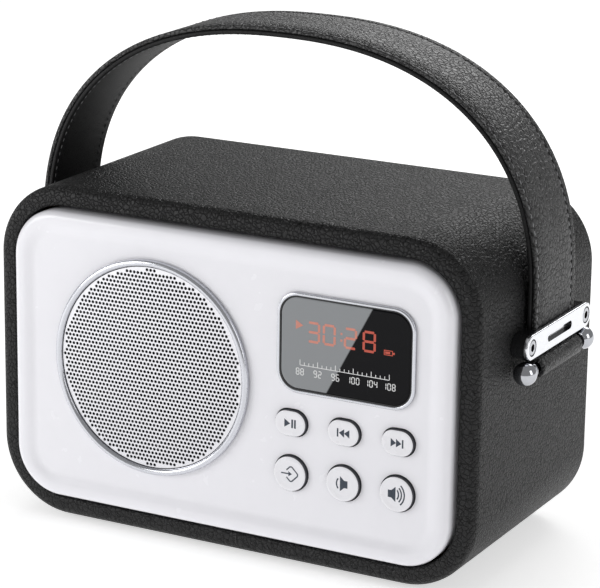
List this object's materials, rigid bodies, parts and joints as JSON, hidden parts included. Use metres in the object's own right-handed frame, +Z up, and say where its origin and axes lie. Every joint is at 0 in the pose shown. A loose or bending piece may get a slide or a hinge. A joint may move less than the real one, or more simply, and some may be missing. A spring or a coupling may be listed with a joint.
{
  "type": "portable radio",
  "caption": "Portable FM and media radio in a leather-covered rounded cabinet, with a dished front panel, loudspeaker, lit display, push buttons, sliding carrying strap and folding aerial.",
  "frame": {"origin": "the floor under the middle of the whole object's box, at the underside of the feet", "axes": "+X to the right of someone facing the front, the front faces -Y, +Z up"},
  "size_m": [0.2298, 0.1184, 0.2018],
  "materials": {
    "leather": "pebbled",
    "board": "raw",
    "white_plastic": "gloss",
    "button_plastic": "satin",
    "chrome": "polished",
    "silver_mesh": "satin, perforated",
    "dark_window": "gloss",
    "black_plastic": "satin",
    "steel": "satin",
    "circuit_board": "solder mask",
    "speaker_paper": "matt pressed paper",
    "rubber": "matt",
    "cell_wrap": "shrink film"
  },
  "bodies": {
    "cabinet": {"leather_wrap": "leather", "cabinet_shell": "board", "front_panel": "white_plastic", "speaker_ring": "chrome", "display_bezel": "chrome", "left_keeper_plate": "chrome", "right_keeper_plate": "chrome", "speaker_grille": "silver_mesh", "display_window": "dark_window", "display_module": "black_plastic", "rear_panel": "black_plastic", "left_strap_bracket": "black_plastic", "right_strap_bracket": "black_plastic", "battery_cradle": "black_plastic", "speaker_basket": "black_plastic", "audio_jack": "black_plastic", "play_switch": "black_plastic", "previous_switch": "black_plastic", "next_switch": "black_plastic", "source_switch": "black_plastic", "volume_down_switch": "black_plastic", "volume_up_switch": "black_plastic", "speaker_magnet": "steel", "usb_socket": "steel", "card_slot": "steel", "charging_socket": "steel", "power_switch_body": "steel", "rear_screw_1": "steel", "rear_screw_2": "steel", "rear_screw_3": "steel", "rear_screw_4": "steel", "left_front_keeper_screw": "steel", "left_rear_keeper_screw": "steel", "right_front_keeper_screw": "steel", "right_rear_keeper_screw": "steel", "main_board": "circuit_board", "socket_board": "circuit_board", "speaker_surround": "rubber", "left_front_foot": "rubber", "left_rear_foot": "rubber", "right_front_foot": "rubber", "right_rear_foot": "rubber", "battery_cell": "cell_wrap"},
    "handle": {"handle_strap": "leather", "left_handle_rod": "chrome", "right_handle_rod": "chrome"},
    "play_button": {"play_button": "button_plastic"},
    "previous_button": {"previous_button": "button_plastic"},
    "next_button": {"next_button": "button_plastic"},
    "source_button": {"source_button": "button_plastic"},
    "volume_down_button": {"volume_down_button": "button_plastic"},
    "volume_up_button": {"volume_up_button": "button_plastic"},
    "power_slider": {"power_slider": "black_plastic"},
    "speaker_cone": {"speaker_cone": "speaker_paper"},
    "aerial_foot": {"aerial_foot": "black_plastic"},
    "aerial_section_1": {"aerial_section_1": "chrome"},
    "aerial_section_2": {"aerial_section_2": "chrome"},
    "aerial_section_3": {"aerial_section_3": "chrome"}
  },
  "joints": [
    {"name": "handle_slide", "type": "slide", "parent": "cabinet", "child": "handle", "axis": [0, 0, 1], "range_m": [-0.016, 0]},
    {"name": "play_button_press", "type": "slide", "parent": "cabinet", "child": "play_button", "axis": [0, 1, 0], "range_m": [0, 0.0008], "stiffness_N_per_m": 500},
    {"name": "previous_button_press", "type": "slide", "parent": "cabinet", "child": "previous_button", "axis": [0, 1, 0], "range_m": [0, 0.0008], "stiffness_N_per_m": 500},
    {"name": "next_button_press", "type": "slide", "parent": "cabinet", "child": "next_button", "axis": [0, 1, 0], "range_m": [0, 0.0008], "stiffness_N_per_m": 500},
    {"name": "source_button_press", "type": "slide", "parent": "cabinet", "child": "source_button", "axis": [0, 1, 0], "range_m": [0, 0.0008], "stiffness_N_per_m": 500},
    {"name": "volume_down_button_press", "type": "slide", "parent": "cabinet", "child": "volume_down_button", "axis": [0, 1, 0], "range_m": [0, 0.0008], "stiffness_N_per_m": 500},
    {"name": "volume_up_button_press", "type": "slide", "parent": "cabinet", "child": "volume_up_button", "axis": [0, 1, 0], "range_m": [0, 0.0008], "stiffness_N_per_m": 500},
    {"name": "power_slider_slide", "type": "slide", "parent": "cabinet", "child": "power_slider", "axis": [1, 0, 0], "range_m": [0, 0.004]},
    {"name": "speaker_cone_travel", "type": "slide", "parent": "cabinet", "child": "speaker_cone", "axis": [0, -1, 0], "range_m": [-0.0015, 0.0015], "stiffness_N_per_m": 1200},
    {"name": "aerial_swivel", "type": "hinge", "parent": "cabinet", "child": "aerial_foot", "pos_m": [0.082, 0.0566, 0.12], "axis": [0, 1, 0], "range_deg": [0, 180]},
    {"name": "aerial_elbow", "type": "hinge", "parent": "aerial_foot", "child": "aerial_section_1", "pos_m": [0.082, 0.0566, 0.12], "axis": [0, 0, -1], "range_deg": [0, 90]},
    {"name": "aerial_extend_1", "type": "slide", "parent": "aerial_section_1", "child": "aerial_section_2", "axis": [-1, 0, 0], "range_m": [0, 0.08]},
    {"name": "aerial_extend_2", "type": "slide", "parent": "aerial_section_2", "child": "aerial_section_3", "axis": [-1, 0, 0], "range_m": [0, 0.078]}
  ]
}
